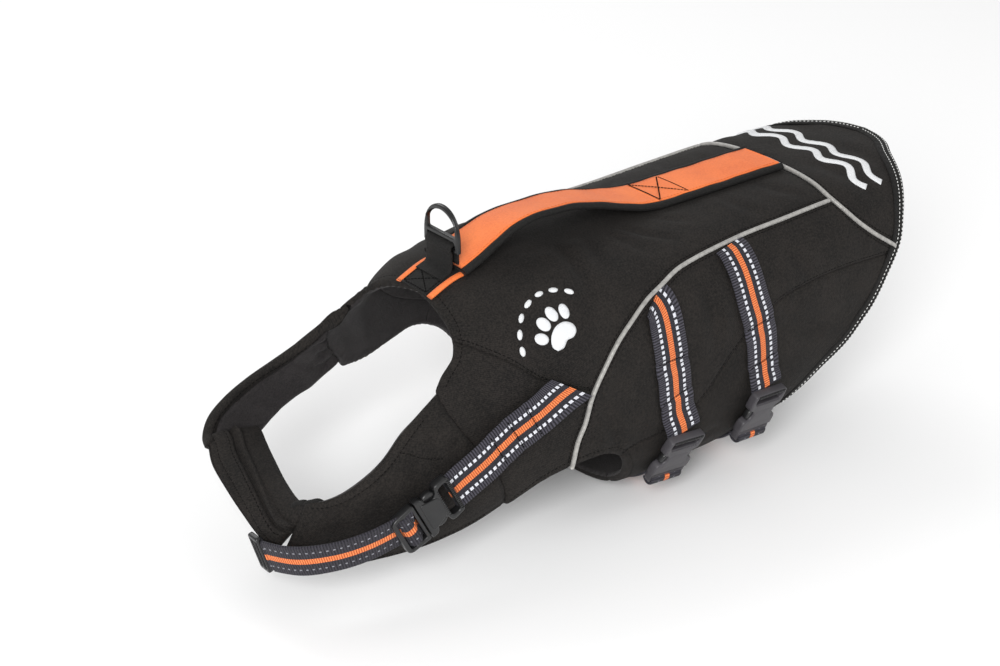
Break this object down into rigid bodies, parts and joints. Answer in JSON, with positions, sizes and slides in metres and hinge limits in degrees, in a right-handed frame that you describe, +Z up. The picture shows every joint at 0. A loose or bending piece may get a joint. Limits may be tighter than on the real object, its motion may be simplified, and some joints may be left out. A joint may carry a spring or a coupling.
{
  "type": "dog life jacket",
  "caption": "Padded black dog life jacket, filled out as when worn: open neck, leg openings and hem, orange-taped grab handle, lead ring, webbing straps with side-release buckles",
  "frame": {"origin": "on the inside of the back panel, on the spine line, under the handle", "axes": "+X towards the tail, +Y the dog's right, +Z up"},
  "size_m": [0.6127, 0.2214, 0.2439],
  "materials": {
    "cloth": "black woven polyester over foam, matt",
    "orange_tape": "bright orange woven tape, matt",
    "piping": "grey reflective piping, soft sheen",
    "webbing": "dark slate ribbed webbing with light dashed edges and an orange centre line",
    "buckle_plastic": "moulded dark grey plastic",
    "ring_plastic": "moulded black plastic"
  },
  "bodies": {
    "jacket": {"back_panel": "cloth", "rear_yoke": "cloth", "shoulder_panel_left": "cloth", "shoulder_panel_right": "cloth", "side_panel_left": "cloth", "side_panel_right": "cloth", "flank_panel_left": "cloth", "flank_panel_right": "cloth", "belly_panel": "cloth", "hem_binding": "cloth", "chest_panel_left": "cloth", "front_flap": "cloth", "front_flap_inner": "cloth", "neck_band_right": "cloth", "handle_band": "cloth", "patch": "cloth", "ring_loop": "cloth", "handle_tape": "orange_tape", "yoke_tape": "orange_tape", "patch_strip_left": "orange_tape", "patch_strip_right": "orange_tape", "side_piping_left": "piping", "side_piping_right": "piping", "yoke_piping": "piping", "chest_strap": "webbing", "chest_strap_front": "webbing", "belly_strap_front_left": "webbing", "belly_strap_front_right": "webbing", "belly_strap_rear_left": "webbing", "belly_strap_rear_right": "webbing", "chest_buckle_socket": "buckle_plastic", "chest_buckle_plug": "buckle_plastic", "belly_buckle_front_socket": "buckle_plastic", "belly_buckle_front_plug": "buckle_plastic", "belly_buckle_rear_socket": "buckle_plastic", "belly_buckle_rear_plug": "buckle_plastic", "front_slider": "buckle_plastic"},
    "lead_ring": {"d_ring": "ring_plastic"}
  },
  "joints": [
    {"name": "lead_ring_swing", "type": "hinge", "parent": "jacket", "child": "lead_ring", "pos_m": [-0.117, 0, 0.023], "axis": [0, 1, 0], "range_deg": [-70, 70]}
  ]
}
